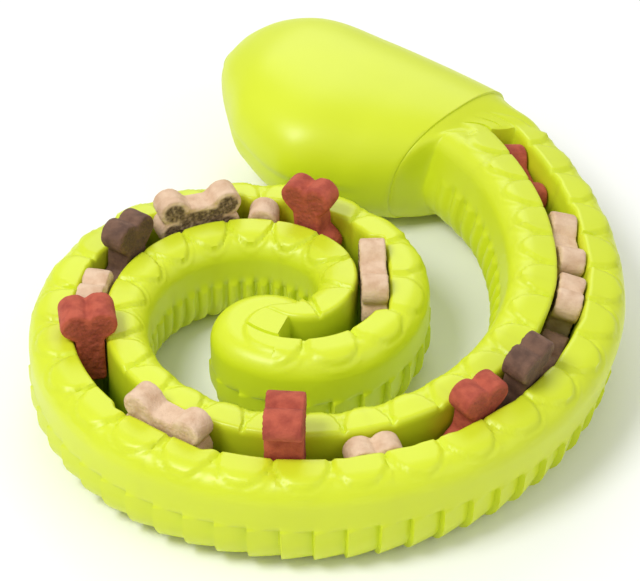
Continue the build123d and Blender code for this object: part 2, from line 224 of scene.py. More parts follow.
class Workshop:
    """Makes the materials and the node group that they share."""

    def __init__(self) -> None:
        """Builds the shared grain group."""
        self.grain = self._grain_group()

    @staticmethod
    def _grain_group() -> bpy.types.NodeTree:
        """Builds the grain group: a coarse mask, a fine mask and a height."""
        group = bpy.data.node_groups.new("surface_grain", "ShaderNodeTree")
        face = group.interface
        face.new_socket("Size", in_out="INPUT", socket_type="NodeSocketFloat")
        face.new_socket("Coarse Size", in_out="INPUT", socket_type="NodeSocketFloat")
        face.new_socket("Coarse", in_out="OUTPUT", socket_type="NodeSocketFloat")
        face.new_socket("Fine", in_out="OUTPUT", socket_type="NodeSocketFloat")
        face.new_socket("Height", in_out="OUTPUT", socket_type="NodeSocketFloat")
        nodes, links = group.nodes, group.links
        start = nodes.new("NodeGroupInput")
        end = nodes.new("NodeGroupOutput")
        place = nodes.new("ShaderNodeTexCoord")
        fine = nodes.new("ShaderNodeTexNoise")
        fine.inputs["Detail"].default_value = 5.0
        fine.inputs["Roughness"].default_value = 0.6
        coarse = nodes.new("ShaderNodeTexNoise")
        coarse.inputs["Detail"].default_value = 3.0
        links.new(place.outputs["Object"], fine.inputs["Vector"])
        links.new(place.outputs["Object"], coarse.inputs["Vector"])
        links.new(start.outputs["Size"], fine.inputs["Scale"])
        links.new(start.outputs["Coarse Size"], coarse.inputs["Scale"])
        both = nodes.new("ShaderNodeMath")
        both.operation = "MULTIPLY_ADD"
        both.inputs[1].default_value = 0.5
        links.new(coarse.outputs["Fac"], both.inputs[0])
        links.new(fine.outputs["Fac"], both.inputs[2])
        links.new(coarse.outputs["Fac"], end.inputs["Coarse"])
        links.new(fine.outputs["Fac"], end.inputs["Fine"])
        links.new(both.outputs[0], end.inputs["Height"])
        return group

    def _start(self, name: str, size: float, coarse: float) -> tuple[bpy.types.Material,
                                                                      bpy.types.Node,
                                                                      bpy.types.Node]:
        """Starts a material with a shader and the grain group."""
        material = bpy.data.materials.new(name)
        material.use_nodes = True
        shader = material.node_tree.nodes["Principled BSDF"]
        grain = material.node_tree.nodes.new("ShaderNodeGroup")
        grain.node_tree = self.grain
        grain.inputs["Size"].default_value = size
        grain.inputs["Coarse Size"].default_value = coarse
        return material, shader, grain

    @staticmethod
    def _ramp(material: bpy.types.Material, source: bpy.types.NodeSocket,
              stops: list[tuple[float, tuple[float, float, float]]]) -> bpy.types.NodeSocket:
        """Adds a colour ramp on a mask and returns its colour."""
        ramp = material.node_tree.nodes.new("ShaderNodeValToRGB")
        ramp.color_ramp.elements[0].position = stops[0][0]
        ramp.color_ramp.elements[0].color = (*stops[0][1], 1.0)
        ramp.color_ramp.elements[1].position = stops[-1][0]
        ramp.color_ramp.elements[1].color = (*stops[-1][1], 1.0)
        for position, colour in stops[1:-1]:
            ramp.color_ramp.elements.new(position).color = (*colour, 1.0)
        material.node_tree.links.new(source, ramp.inputs["Fac"])
        return ramp.outputs["Color"]

    @staticmethod
    def _mix(material: bpy.types.Material, mask: bpy.types.NodeSocket,
             first: bpy.types.NodeSocket, second: bpy.types.NodeSocket) -> bpy.types.NodeSocket:
        """Mixes two colours by a mask."""
        mix = material.node_tree.nodes.new("ShaderNodeMix")
        mix.data_type = "RGBA"
        links = material.node_tree.links
        links.new(mask, mix.inputs[0])
        links.new(first, mix.inputs[6])
        links.new(second, mix.inputs[7])
        return mix.outputs[2]

    @staticmethod
    def _bump(material: bpy.types.Material, height: bpy.types.NodeSocket, strength: float,
              depth: float, shader: bpy.types.Node) -> None:
        """Feeds a height to the shader's normal through a bump node."""
        bump = material.node_tree.nodes.new("ShaderNodeBump")
        bump.inputs["Strength"].default_value = strength
        bump.inputs["Distance"].default_value = depth
        material.node_tree.links.new(height, bump.inputs["Height"])
        material.node_tree.links.new(bump.outputs["Normal"], shader.inputs["Normal"])

    def rubber(self, name: str, finish: RubberFinish) -> bpy.types.Material:
        """Makes the rubber, with painted shade darkening the groove.

        Args:
            name: Name of the material.
            finish: Its colours and grain.
        Returns:
            The material.
        """
        material, shader, grain = self._start(name, finish.grain_size, 28.0)
        nodes, links = material.node_tree.nodes, material.node_tree.links
        light = tuple(min(1.0, 1.05 * c) for c in finish.colour)
        skin = self._ramp(material, grain.outputs["Coarse"],
                          [(0.3, finish.colour), (0.7, light)])
        # Painted shade: the darker green is mixed in where the groove attribute marks corners deep
        # in the groove.
        painted_shade = self._ramp(material, grain.outputs["Fine"],
                          [(0.3, finish.groove_shade_colour), (0.7, finish.groove_shade_colour)])
        depth = nodes.new("ShaderNodeAttribute")
        depth.attribute_name = "groove_depth"
        links.new(self._mix(material, depth.outputs["Fac"], skin, painted_shade),
                  shader.inputs["Base Color"])
        shade = nodes.new("ShaderNodeMapRange")
        shade.inputs["To Min"].default_value = finish.roughness - 0.05
        shade.inputs["To Max"].default_value = finish.roughness + 0.07
        links.new(grain.outputs["Coarse"], shade.inputs["Value"])
        links.new(shade.outputs["Result"], shader.inputs["Roughness"])
        shader.inputs["Subsurface Weight"].default_value = finish.translucency
        shader.inputs["Subsurface Radius"].default_value = (1.0, 1.0, 0.15)
        shader.inputs["Subsurface Scale"].default_value = 0.004
        self._bump(material, grain.outputs["Height"], finish.grain, 0.0002, shader)
        return material

    def biscuit(self, name: str, finish: BiscuitFinish) -> bpy.types.Material:
        """Makes a baked dough.

        Args:
            name: Name of the material.
            finish: Its crust and crumb colours.
        Returns:
            The material.
        """
        material, shader, grain = self._start(name, 1500.0, 260.0)
        nodes, links = material.node_tree.nodes, material.node_tree.links
        crust = self._ramp(material, grain.outputs["Coarse"],
                           [(0.32, finish.crust_dark), (0.62, finish.crust)])
        crumb = self._ramp(material, grain.outputs["Fine"],
                           [(0.38, finish.crumb_dark), (0.6, finish.crumb)])
        core = nodes.new("ShaderNodeAttribute")
        core.attribute_name = "broken_face"
        links.new(self._mix(material, core.outputs["Fac"], crust, crumb),
                  shader.inputs["Base Color"])
        shade = nodes.new("ShaderNodeMapRange")
        shade.inputs["To Min"].default_value = finish.roughness - 0.12
        shade.inputs["To Max"].default_value = finish.roughness + 0.1
        links.new(grain.outputs["Fine"], shade.inputs["Value"])
        links.new(shade.outputs["Result"], shader.inputs["Roughness"])
        self._bump(material, grain.outputs["Height"], finish.grain, 0.0005, shader)
        return material


# ------------------------------------------------------------------ path of the body
@dataclass
class CoilPath:
    """Centreline of the coiled body, in millimetres from the tail end of the groove."""

    tail_bend_radius: float = 15.0
    tail_bend_growth: float = 0.352
    tail_turn_length: float = 69.5
    coil_bend_growth: float = 0.153
    coil_turn_length: float = 375.7
    neck_bend_growth: float = 0.898
    tail_start: tuple[float, float] = (-15.27, -43.27)
    tail_heading: float = -21.9
    tail_core_length: float = 20.0
    groove_length: float = 473.0
    bends: tuple[float, ...] = (63.0, 100.8, 131.8, 155.0, 177.0, 199.0, 218.5, 256.5,
                                282.0, 312.0, 338.6, 379.7, 399.5, 437.0)
    body_height: float = 32.0
    tail_half_width: float = 17.3
    neck_half_width: float = 19.2
    belly_edge_radius: float = 9.5
    top_edge_radius: float = 6.5
    roll_start: float = 300.0
    roll_end: float = 390.0
    neck_roll: float = 15.0
    arcs: list[tuple[float, float, float, float, float, float]] = field(default_factory=list)

    def __post_init__(self) -> None:
        """Works out the arcs from the bend radii."""
        x, y = self.tail_start
        heading = math.radians(self.tail_heading)
        marks = [0.0, self.tail_core_length, *self.bends, self.groove_length]
        for start, end in zip(marks, marks[1:]):
            turn = self.turn_between(start, end)
            radius = (end - start) / turn
            self.arcs.append((start, end, x, y, heading, radius))
            x += radius * (math.sin(heading + turn) - math.sin(heading))
            y -= radius * (math.cos(heading + turn) - math.cos(heading))
            heading += turn

    def bend_radius(self, s: float) -> float:
        """Bend radius of the centreline at a distance."""
        radius = self.tail_bend_radius
        radius += self.tail_bend_growth * max(0.0, min(s, self.tail_turn_length))
        radius += self.coil_bend_growth * max(
            0.0, min(s, self.coil_turn_length) - self.tail_turn_length)
        return radius + self.neck_bend_growth * max(0.0, s - self.coil_turn_length)

    def turn_between(self, start: float, end: float) -> float:
        """Angle in radians that the centreline turns between two distances."""
        step = (end - start) / 60
        return sum(step / self.bend_radius(start + (i + 0.5) * step) for i in range(60))

    def pose(self, s: float) -> tuple[float, float, float, float]:
        """Place, heading in radians and arc radius at a distance."""
        arc = next((a for a in self.arcs if s <= a[1]), self.arcs[-1])
        start, _, x, y, heading, radius = arc
        turn = (s - start) / radius
        x += radius * (math.sin(heading + turn) - math.sin(heading))
        y -= radius * (math.cos(heading + turn) - math.cos(heading))
        return x, y, heading + turn, radius

    def half_width(self, s: float) -> float:
        """Half width of the body at a distance."""
        share = min(1.0, max(0.0, s / self.groove_length))
        return self.tail_half_width + (self.neck_half_width - self.tail_half_width) * share

    def roll(self, s: float) -> float:
        """Outward roll of the body in radians at a distance."""
        share = (s - self.roll_start) / (self.roll_end - self.roll_start)
        return math.radians(self.neck_roll) * min(1.0, max(0.0, share))

    def section(self, s: float, mark: float | None = None) -> tuple[np.ndarray, np.ndarray,
                                                                      np.ndarray, np.ndarray]:
        """Belly point and forward, side and rise directions at a distance.

        Args:
            s: Distance along the groove in millimetres.
            mark: Distance whose width and roll are used, if not s itself.
        Returns:
            The belly point and the three directions.
        """
        mark = s if mark is None else mark
        x, y, heading, _ = self.pose(s)
        forward = np.array([math.cos(heading), math.sin(heading), 0.0])
        outward = np.array([math.sin(heading), -math.cos(heading), 0.0])
        up = np.array([0.0, 0.0, 1.0])
        a = self.roll(mark)
        side = outward * math.cos(a) - up * math.sin(a)
        rise = up * math.cos(a) + outward * math.sin(a)
        half, edge = self.body_height / 2, self.belly_edge_radius
        low = (half - edge) * math.cos(a) + (self.half_width(mark) - edge) * math.sin(a) + edge
        belly = np.array([x, y, low]) - rise * half
        return belly, forward, side, rise

    def carrier(self, s: float) -> float:
        """Middle of the stretch between bends that holds a distance."""
        marks = [0.0, *self.bends, self.groove_length]
        for low, high in zip(marks, marks[1:]):
            if low <= s < high:
                return (low + high) / 2
        return self.groove_length

    def row_length(self, s: np.ndarray, offset: float) -> np.ndarray:
        """Length from the tail along a line beside the centreline."""
        headings = np.array([self.pose(float(v))[2] for v in np.atleast_1d(s)])
        return np.atleast_1d(s) + offset * (headings - math.radians(self.tail_heading))

    def link(self, s: float) -> str:
        """Name of the body that carries a distance."""
        index = sum(1 for mark in self.bends if s >= mark)
        if index == 0:
            return "tail_link"
        return "neck_link" if index == len(self.bends) else f"link_{index:02d}"


# ------------------------------------------------------------------ biscuits
@dataclass
class Biscuit:
    """One bone biscuit in the groove. Sizes in millimetres."""

    name: str
    place: float
    stance: Stance
    lean: float
    top: float
    length: float
    dough: Dough
    core: float = 0.35
    width: float = 17.0
    lobe: float = 4.7
    waist: float = 9.4
    thickness: float = 8.4
    knob_thickness: float = 11.5
    knob_shank: float = 8.6
    edge: float = 1.0

    @property
    def number(self) -> str:
        """Number of the biscuit as two digits."""
        return self.name.split("_")[1]

    @property
    def footprint(self) -> float:
        """Length of the biscuit along the groove."""
        if self.stance is Stance.NUB:
            return 2 * self.lobe
        if self.stance is Stance.ACROSS:
            return self.knob_thickness
        a = math.radians(abs(self.lean))
        long_side = self.length if self.stance is Stance.ALONG else self.width
        short_side = self.width if self.stance is Stance.ALONG else self.length
        flat = (long_side - 2 * self.lobe) * math.cos(a)
        return flat + (short_side - 2 * self.lobe) * math.sin(a) + 2 * self.lobe

    @property
    def drop(self) -> float:
        """Height from the lowest to the highest point."""
        if self.stance is Stance.NUB:
            return self.length
        a = math.radians(abs(self.lean))
        high = self.width if self.stance is Stance.ALONG else self.length
        other = self.length if self.stance is Stance.ALONG else self.width
        return (high - 2 * self.lobe) * math.cos(a) + (other - 2 * self.lobe) * math.sin(a) \
            + 2 * self.lobe

    def _reach(self, x: np.ndarray, y: np.ndarray) -> np.ndarray:
        """Signed distance from the outline, positive inside, in the broad plane."""
        dx, dy = self.length / 2 - self.lobe, self.width / 2 - self.lobe
        if self.stance is Stance.NUB:
            shank = np.hypot(x, np.maximum(0.0, np.abs(y) - (self.length / 2 - self.lobe)))
            return self.lobe - shank
        if self.stance is Stance.ACROSS:
            crown = -self.lobe
            lobes = self.lobe - np.hypot(np.abs(x) - dy, y - crown)
            top = -0.8 * self.lobe
            half = (self.length + top) / 2
            mid = top - half
            shank = np.minimum(self.knob_shank / 2 - np.abs(x), half - np.abs(y - mid))
        else:
            lobes = self.lobe - np.hypot(np.abs(x) - dx, np.abs(y) - dy)
            shank = np.minimum(dx - np.abs(x), self.waist / 2 - np.abs(y))
        blend = 0.9
        mix = np.clip(0.5 + 0.5 * (lobes - shank) / blend, 0.0, 1.0)
        return shank + (lobes - shank) * mix + blend * mix * (1.0 - mix)

    def _frame(self, path: CoilPath) -> tuple[np.ndarray, np.ndarray, np.ndarray, np.ndarray]:
        """Middle and the three directions of the biscuit: X, Y and thickness."""
        belly, forward, side, rise = path.section(self.place, path.carrier(self.place))
        height = path.body_height + self.top
        if self.stance is Stance.ACROSS:
            return belly + rise * height, side, rise, -forward
        if self.stance is Stance.NUB:
            return belly + rise * (height - self.length / 2), forward, rise, side
        a = math.radians(self.lean if self.stance is Stance.ALONG else self.lean + 90.0)
        long_way = forward * math.cos(a) + rise * math.sin(a)
        short_way = rise * math.cos(a) - forward * math.sin(a)
        return belly + rise * (height - self.drop / 2), long_way, short_way, side

    def _outline(self, corners: int) -> np.ndarray:
        """Corners of the outline in the broad plane, found by walking in from outside."""
        centre_y = -self.length / 2 if self.stance is Stance.ACROSS else 0.0
        angle = np.arange(corners) / corners * 2 * math.pi
        ways = np.stack([np.cos(angle), np.sin(angle)], axis=1)
        far = np.full(corners, self.length)
        for _ in range(90):
            spot = ways * far[:, None]
            reach = self._reach(spot[:, 0], spot[:, 1] + centre_y)
            far += np.where(reach < 0, 0.35 * reach, 0.25 * reach)
        spot = ways * far[:, None]
        spot[:, 1] += centre_y
        return spot

    def build(self, path: CoilPath) -> bpy.types.Object:
        """Models the biscuit and lays it in its place.

        Args:
            path: Path of the body that holds it.
        Returns:
            The finished mesh object.
        """
        clean_selection()
        corners = 96
        bpy.ops.mesh.primitive_circle_add(vertices=corners, radius=1.0, fill_type="NOTHING")
        bone = bpy.context.object
        bone.name = "baked_" + self.name
        bone.data.name = bone.name
        outline = self._outline(corners)
        thick = self.knob_thickness if self.stance is Stance.ACROSS else self.thickness
        co = np.zeros((corners, 3))
        start = corners_of(bone)
        spot = np.rint(np.arctan2(start[:, 1], start[:, 0]) / (2 * math.pi) * corners)
        order = spot.astype(int) % corners
        co[:, :2] = outline[order] * MM
        co[:, 2] = -thick / 2 * MM
        set_corners(bone, co)
        bpy.ops.object.mode_set(mode="EDIT")
        bpy.ops.mesh.select_all(action="SELECT")
        bpy.ops.mesh.edge_face_add()
        bpy.ops.mesh.extrude_region_move(TRANSFORM_OT_translate={"value": (0, 0, thick * MM)})
        bpy.ops.mesh.select_all(action="SELECT")
        bpy.ops.mesh.normals_make_consistent(inside=False)
        bpy.ops.object.mode_set(mode="OBJECT")
        bevel = bone.modifiers.new("edge", "BEVEL")
        bevel.width = self.edge * MM
        bevel.segments = 3
        bevel.limit_method = "ANGLE"
        bevel.angle_limit = math.radians(50)
        bpy.ops.object.modifier_apply(modifier=bevel.name)
        skin = bone.modifiers.new("crumb", "REMESH")
        skin.mode = "VOXEL"
        skin.voxel_size = 0.42 * MM
        bpy.ops.object.modifier_apply(modifier=skin.name)
        self._roughen(bone, thick)
        self._place(bone, path)
        bpy.ops.object.shade_smooth()
        return bone

    def _roughen(self, bone: bpy.types.Object, thick: float) -> None:
        """Roughens the broad faces, dents the rim a little and marks the broken faces."""
        count = len(bone.data.vertices)
        co = corners_of(bone)
        normal = corners_of(bone, "normal")
        seed = 17.0 * float(self.number)
        flat = smooth(0.6, 0.95, np.abs(normal[:, 2]))
        inside = self._reach(co[:, 0] / MM, co[:, 1] / MM)
        core = flat * smooth(0.9, 2.0, inside)
        shift = np.zeros(count)
        speck = np.zeros(count)
        for i in range(count):
            spot = Vector(co[i]) / MM
            wide = noise.noise(spot * 0.35 + Vector((seed, 0, 0)))
            fine = noise.noise(spot * 1.1 + Vector((0, seed, 0)))
            speck[i] = fine
            shift[i] = 0.12 * wide + (0.05 + 0.22 * flat[i]) * fine
        co += normal * ((shift - 0.14 * flat) * MM)[:, None]
        half = thick / 2 * MM
        co[:, 2] = np.clip(co[:, 2], -half, half)
        set_corners(bone, co)
        share = core * self.core * (1.0 + 0.9 * speck)
        paint(bone, "broken_face", np.clip(share, 0.0, 1.0))

    def _place(self, bone: bpy.types.Object, path: CoilPath) -> None:
        """Moves the mesh to its place in the groove."""
        middle, x_way, y_way, z_way = self._frame(path)
        co = corners_of(bone)
        if np.dot(np.cross(x_way, y_way), z_way) < 0:
            z_way = -z_way
        laid = middle * MM + np.outer(co[:, 0], x_way) + np.outer(co[:, 1], y_way) \
            + np.outer(co[:, 2], z_way)
        set_corners(bone, laid)


# ------------------------------------------------------------------ body skin
@dataclass
class BodySkin:
    """The rubber body: one skin, in lengths cut between the hinges. Millimetres."""

    path: CoilPath
    biscuits: list[Biscuit]
    groove_half: float = 4.7
    groove_floor: float = 7.0
    floor_corner: float = 2.0
    lip: float = 1.1
    cap_setback: float = 6.0
    ring_step: float = 0.8
    plate_pitch: float = 9.75
    plate_depth: float = 2.1
    plate_top: float = 17.0
    plate_inset: float = 0.6
    skin_belly_edge: float = 12.0
    bar_pitch: float = 7.95
    bar_depth: float = 1.5
    outer_scale_pitch: float = 16.4
    inner_scale_pitch: float = 14.2
    scale_reach: float = 10.6
    scale_depth: float = 1.05
    tail_cut: float = 44.0
    neck_cut: float = 455.0
    seam_width: float = 57.0
    seam_height: float = 40.0
    seam_corner: float = 15.0
    seam_forward: float = 12.0
    seam_inward: float = 9.0
    seam_rise: float = 20.4
    seam_yaw: float = 19.0
    seam_pitch: float = 10.0
    neck_blend_start: float = 1.5
    spans: tuple[int, ...] = (3, 3, 8, 3, 9, 10, 15, 7, 4)
    flare_start: float = 440.0
    flare_end: float = 490.0
    flare_width: float = 6.0
    wall_gap: float = 0.7
    cap_rings: int = 30
    neck_rings: int = 20
    weld: float = 2e-6

    def seam_frame(self, step: float = 0.0, inward: float = 0.0, rise: float = 0.0,
                   yaw: float = 0.0, pitch: float | None = None) -> tuple[np.ndarray, ...]:
        """Middle, axis, side and rise of a section of the head.

        Args:
            step: Distance ahead of the seam.
            inward: Distance to the inner side of the coil.
            rise: Height over the middle of the seam.
            yaw: Turn to the inner side in degrees.
            pitch: Tilt of the axis in degrees.
        Returns:
            The middle point and three directions.
        """
        pitch = self.seam_pitch if pitch is None else pitch
        x, y, heading, _ = self.path.pose(self.path.groove_length + self.neck_blend_start)
        up = np.array([0.0, 0.0, 1.0])

        def ways(angle: float) -> tuple[np.ndarray, np.ndarray]:
            return (np.array([math.cos(angle), math.sin(angle), 0.0]),
                    np.array([math.sin(angle), -math.cos(angle), 0.0]))

        forward, outward = ways(heading)
        seam = np.array([x, y, 0.0]) + forward * self.seam_forward - outward * self.seam_inward
        ahead, aside = ways(heading + math.radians(self.seam_yaw))
        middle = seam + ahead * step - aside * inward + up * (self.seam_rise + rise)
        nose, side = ways(heading + math.radians(self.seam_yaw + yaw))
        a = math.radians(pitch)
        axis = nose * math.cos(a) + up * math.sin(a)
        return middle, axis, side, up * math.cos(a) - nose * math.sin(a)

    def half_profile(self, width: float, height: float, top_edge: float, low_edge: float,
                     wall: float, depth: float) -> dict[str, np.ndarray]:
        """Half of a cross section, from the groove's middle round to the belly's.

        Args:
            width: Half width of the section.
            height: Height of the section.
            top_edge: Radius of the upper edge.
            low_edge: Radius of the lower edge.
            wall: Distance of the groove's wall from the middle.
            depth: Share of the groove's depth, 0 where there is none.
        Returns:
            Places x and y, normals nx and ny, length w from the lip, forward reach r.
        """
        n = self.spans
        x, y, nx, ny, w, r = [], [], [], [], [], []

        def put(px: float, py: float, ax: float, ay: float, pw: float, pr: float) -> None:
            for row, value in zip((x, y, nx, ny, w, r), (px, py, ax, ay, pw, pr)):
                row.append(value)

        corner, lip = self.floor_corner, self.lip
        flat_end = width - top_edge
        for i in range(n[0]):
            put((i + 1) / n[0] * (wall - corner), self.groove_floor, 0, 0, -30.0, flat_end)
        for i in range(n[1]):
            t = (i + 1) / n[1] * math.pi / 2
            put(wall - corner + corner * math.sin(t),
                self.groove_floor + corner - corner * math.cos(t), 0, 0, -25.0, flat_end)
        base = self.groove_floor + corner
        for i in range(n[2]):
            share = (i + 1) / n[2]
            share = 1 - (1 - share) ** 1.5
            put(wall, base + share * (height - lip - base), 0, 0, -20.0 * (1 - share), flat_end)
        for i in range(n[3]):
            t = (i + 1) / n[3] * math.pi / 2
            put(wall + lip - lip * math.cos(t), height - lip + lip * math.sin(t),
                0, math.sin(t), 0.0, flat_end)
        start = wall + lip
        for i in range(n[4]):
            share = (i + 1) / n[4]
            px = start + share * (flat_end - start)
            put(px, height, 0, 1, px - start, flat_end)
        run = flat_end - start
        for i in range(n[5]):
            t = (i + 1) / n[5] * math.pi / 2
            px = flat_end + top_edge * math.sin(t)
            put(px, height - top_edge + top_edge * math.cos(t), math.sin(t), math.cos(t),
                run + top_edge * t, px)
        high, low = height - top_edge, low_edge
        step = self.plate_top if high > self.plate_top > low else (high + low) / 2
        rows = [high + (step + 0.7 - high) * k / 5 for k in range(1, 6)]
        rows += [step + 0.25, step - 0.1, step - 0.45]
        rows += [step - 0.45 + (low - step + 0.45) * k / 7 for k in range(1, 8)]
        for row in rows:
            put(width, row, 1, 0, 99.0, width)
        for i in range(n[7]):
            t = math.pi / 2 + (i + 1) / n[7] * math.pi / 2
            px = width - low_edge + low_edge * math.sin(t)
            put(px, low_edge + low_edge * math.cos(t), math.sin(t), 0.3 * math.cos(t), 99.0, px)
        for i in range(n[8]):
            share = (i + 1) / (n[8] + 1)
            put((width - low_edge) * (1 - share), 0.0, 0, 0, 99.0, width - low_edge)
        out = {k: np.array(v, float) for k, v in
               zip(("x", "y", "nx", "ny", "w", "r"), (x, y, nx, ny, w, r))}
        groove = sum(n[:4])
        spread = (np.arange(groove) + 1) / groove * start
        out["x"][:groove] = spread + (out["x"][:groove] - spread) * depth
        out["y"][:groove] = height + (out["y"][:groove] - height) * depth
        out["ny"][:groove] = np.where(out["w"][:groove] < 0, 1 - depth, out["ny"][:groove])
        out["w"][:groove] = np.where(depth < 0.5, out["x"][:groove] - start,
                                     out["w"][:groove])
        return out

    def _pad(self, along: np.ndarray | float, away: np.ndarray, pitch: float) -> np.ndarray:
        """Height of the row of half-round scales beside the groove."""
        half = pitch / 2
        offset = (np.asarray(along) + half) % pitch - half
        lip = np.maximum(away, 0.0)
        size = np.hypot(offset / (half - 0.25), lip / self.scale_reach)
        inset = (1.0 - size) * self.scale_reach * 0.8
        pad = smooth(0.0, 0.7, inset) * (1.0 + 0.15 * smooth(0.0, 5.0, inset))
        ridge = 0.35 * np.exp(-((inset + 1.3) / 0.5) ** 2)
        return self.scale_depth * (pad + ridge) * (away > -4.0)

    def _end_pad(self, beyond: np.ndarray, across: np.ndarray) -> np.ndarray:
        """Height of the round scale about an end of the groove."""
        inset = 12.4 - np.hypot(beyond, across)
        return self.scale_depth * smooth(0.0, 1.6, inset)

    def _plates(self, along: np.ndarray | float, height: np.ndarray) -> np.ndarray:
        """Height of the shingled plates low on the outer side."""
        share = (np.asarray(along) / self.plate_pitch) % 1.0
        ramp = 1.0 - share
        edge = smooth(0.0, 0.045, share)
        tall = smooth(self.plate_top + 0.55, self.plate_top - 0.35, height)
        return self.plate_depth * (ramp * edge - self.plate_inset) * tall

    def _bars(self, along: float, height: np.ndarray) -> np.ndarray:
        """Height of the narrow rounded bars low on the inner side."""
        share = (along / self.bar_pitch) % 1.0
        round_bar = math.sqrt(max(0.0, 1.0 - ((share - 0.5) / 0.36) ** 2)) \
            if abs(share - 0.5) < 0.36 else 0.0
        tall = smooth(self.plate_top + 1.6, self.plate_top - 0.6, height)
        return self.bar_depth * (round_bar - 0.45) * tall

    def _wall(self, s: float) -> float:
        """Outer wall of the groove, which gives way to the straight biscuits."""
        outer = self.groove_half
        radius = self.path.pose(s)[3]
        for biscuit in self.biscuits:
            if biscuit.stance is Stance.ACROSS:
                continue
            gap = abs(s - biscuit.place)
            half = biscuit.footprint / 2 + 0.4
            fade = float(smooth(half + 3.0, half, gap))
            sag = min(gap, half) ** 2 / (2 * radius)
            need = sag + biscuit.thickness / 2 + 0.35
            outer = max(outer, self.groove_half + fade * (need - self.groove_half))
        return outer

    @staticmethod
    def _around(top: float, outer: np.ndarray, inner: np.ndarray,
                bottom: float = 0.0) -> np.ndarray:
        """One row of a whole ring from its middle values and its two halves."""
        return np.concatenate([[top], outer, [bottom], inner[::-1]])

    def _ring(self, s: float) -> tuple[np.ndarray, np.ndarray]:
        """One ring of the body at a distance.

        Args:
            s: Distance along the groove.
        Returns:
            The places of the ring and the painted shade mask of its corners.
        """
        path = self.path
        belly, _, side, rise = path.section(s)
        radius = path.pose(s)[3]
        hw = path.half_width(s)
        flare = float(smooth(self.flare_start, self.flare_end, s)) * self.flare_width
        depth = float(smooth(-0.7, 0.5, s) * smooth(path.groove_length + 0.7,
                                                    path.groove_length - 0.5, s))
        top, low = path.top_edge_radius, self.skin_belly_edge
        fade = float(smooth(476.0, 452.0, s))
        row_out = float(path.row_length(np.array([s]), 8.0)[0])
        row_in = float(path.row_length(np.array([s]), -8.0)[0])
        edge_row = float(path.row_length(np.array([s]), hw)[0])
        halves = []
        for sign, wide, wall in ((1, hw, self._wall(s)), (-1, hw + flare, self.groove_half)):
            half = self.half_profile(wide, path.body_height, top, low, wall, depth)
            if s < 0 or s > path.groove_length:
                beyond = -s if s < 0 else s - path.groove_length
                lift = self._end_pad(np.array(beyond), half["x"]) * (half["ny"] > 0.01)
                lift *= (half["w"] < 50)
            else:
                row, pitch = (row_out, self.outer_scale_pitch) if sign > 0 else \
                    (row_in, self.inner_scale_pitch)
                room = float(smooth(0.0, 3.0, radius - 9.0)) if sign < 0 else 1.0
                lift = self._pad(row, half["w"], pitch) * (half["w"] >= 0) * room
                near = min(s, path.groove_length - s)
                if near < 3.0:
                    lift = lift * float(smooth(0.0, 3.0, near)) + self.scale_depth * (
                        (half["w"] >= 0) & (half["w"] < 7.0)) * (1 - float(smooth(0.0, 3.0, near)))
            if sign > 0:
                relief = self._plates(edge_row, half["y"]) * (half["w"] > 50) * fade
            else:
                room = float(smooth(3.0, 10.0, radius - hw))
                relief = self._bars(s, half["y"]) * (half["w"] > 50) * fade * room
            total = lift + relief
            px = half["x"] + half["nx"] * total
            py = half["y"] + half["ny"] * total
            if sign < 0:
                px = np.minimum(px, radius - self.wall_gap)
            halves.append((sign * px, py, half))
        floor = path.body_height + (self.groove_floor - path.body_height) * depth
        xs = self._around(0.0, halves[0][0], halves[1][0])
        ys = self._around(floor, halves[0][1], halves[1][1])
        if depth < 0.5:
            ys[0] += self.scale_depth
        # Painted shade mask: corners deep in the groove get the darker green.
        mask = depth * self._around(1.0, *(self._painted_shade_mask(half[2]) for half in halves))
        points = belly + np.outer(xs, side) + np.outer(np.maximum(ys, 0.0), rise)
        return points, mask

    def _painted_shade_mask(self, half: dict[str, np.ndarray]) -> np.ndarray:
        """Painted shade share of each corner of a half section, larger deeper in the groove."""
        painted_shade = smooth(29.0, 10.0, half["y"])
        return painted_shade * (half["w"] < 0)

    def _cap_ring(self, angle: float) -> tuple[np.ndarray, np.ndarray]:
        """One ring of the rounded tail end.

        Args:
            angle: Turn round the cap in radians, 0 where it joins the body.
        Returns:
            The places of the ring and its painted shade mask, which is zero.
        """
        path = self.path
        belly, forward, side, rise = path.section(-self.cap_setback)
        radius = path.pose(-self.cap_setback)[3]
        hw = path.half_width(0.0)
        half = self.half_profile(hw, path.body_height, path.top_edge_radius,
                                 self.skin_belly_edge, self.groove_half, 0.0)
        start = float(path.row_length(np.array([-self.cap_setback]), hw)[0])
        xs, fs, ys = [], [], []
        for sign in (1, -1):
            lateral = half["x"] * math.cos(angle)
            ahead = half["r"] * math.sin(angle)
            lift = self._end_pad(self.cap_setback + ahead, lateral) * (half["ny"] > 0.01)
            lift *= (half["w"] < 50)
            turn = angle if sign > 0 else math.pi - angle
            plates = self._plates(start - hw * turn, half["y"]) * (half["w"] > 50)
            if sign < 0:
                plates *= float(smooth(0.2, 0.9, angle))
            total = lift + plates
            lateral = lateral + half["nx"] * total * math.cos(angle)
            ahead = ahead + half["nx"] * total * math.sin(angle)
            if sign < 0:
                lateral = np.minimum(lateral, radius - self.wall_gap)
            xs.append(sign * lateral)
            fs.append(-ahead)
            ys.append(half["y"] + half["ny"] * total)
        top_reach, low_reach = half["r"][0], half["r"][-1]
        middle = float(self._end_pad(np.array(self.cap_setback
                                              + top_reach * math.sin(angle)), np.array(0.0)))
        x = self._around(0.0, *xs)
        f = self._around(-top_reach * math.sin(angle), *fs, -low_reach * math.sin(angle))
        y = self._around(path.body_height + middle, *ys)
        points = belly + np.outer(x, side) + np.outer(f, forward) \
            + np.outer(np.maximum(y, 0.0), rise)
        return points, np.zeros(len(x))

